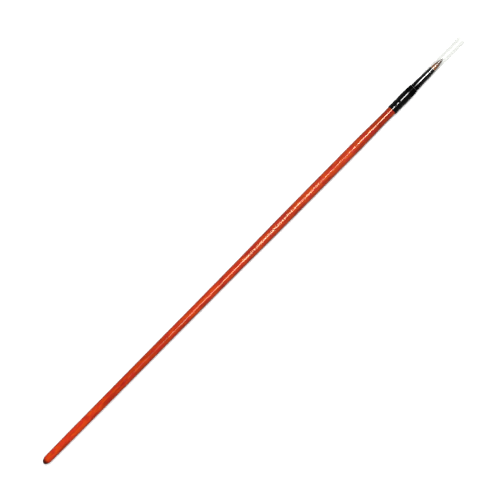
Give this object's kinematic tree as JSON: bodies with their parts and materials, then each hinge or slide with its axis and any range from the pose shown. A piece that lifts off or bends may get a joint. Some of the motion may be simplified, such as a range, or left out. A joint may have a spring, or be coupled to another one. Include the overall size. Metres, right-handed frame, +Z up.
{
  "type": "fine detail brush",
  "caption": "Slim round detail brush with a swelling lacquered handle, a crimped black ferrule, a pointed hair tuft and a clear tube that pulls off the tip.",
  "frame": {"origin": "under the middle of the object's length, on the surface that the brush lies on", "axes": "+X along the brush, from the butt towards the hair; +Y to the left when looking along +X; +Z up"},
  "size_m": [0.2096, 0.0038, 0.0037],
  "materials": {
    "lacquered_wood": "orange-red translucent gloss lacquer over fine straight-grained wood, with a worn stamped ornament of pale gold foil",
    "black_ferrule": "gloss black coating",
    "hair": "orange-brown brush hair with a soft shine",
    "thread": "matt twisted cotton",
    "epoxy": "amber resin",
    "clear_plastic": "clear thin-walled plastic tube"
  },
  "bodies": {
    "brush": {"handle": "lacquered_wood", "ferrule_sleeve": "black_ferrule", "ferrule_tip": "black_ferrule", "hair_tuft": "hair", "glue_plug": "epoxy", "binding_thread": "thread"},
    "guard": {"protective_tube": "clear_plastic"}
  },
  "joints": [
    {"name": "guard_pull_off", "type": "slide", "parent": "brush", "child": "guard", "axis": [1, 0, 0], "range_m": [0, 0.02]}
  ]
}
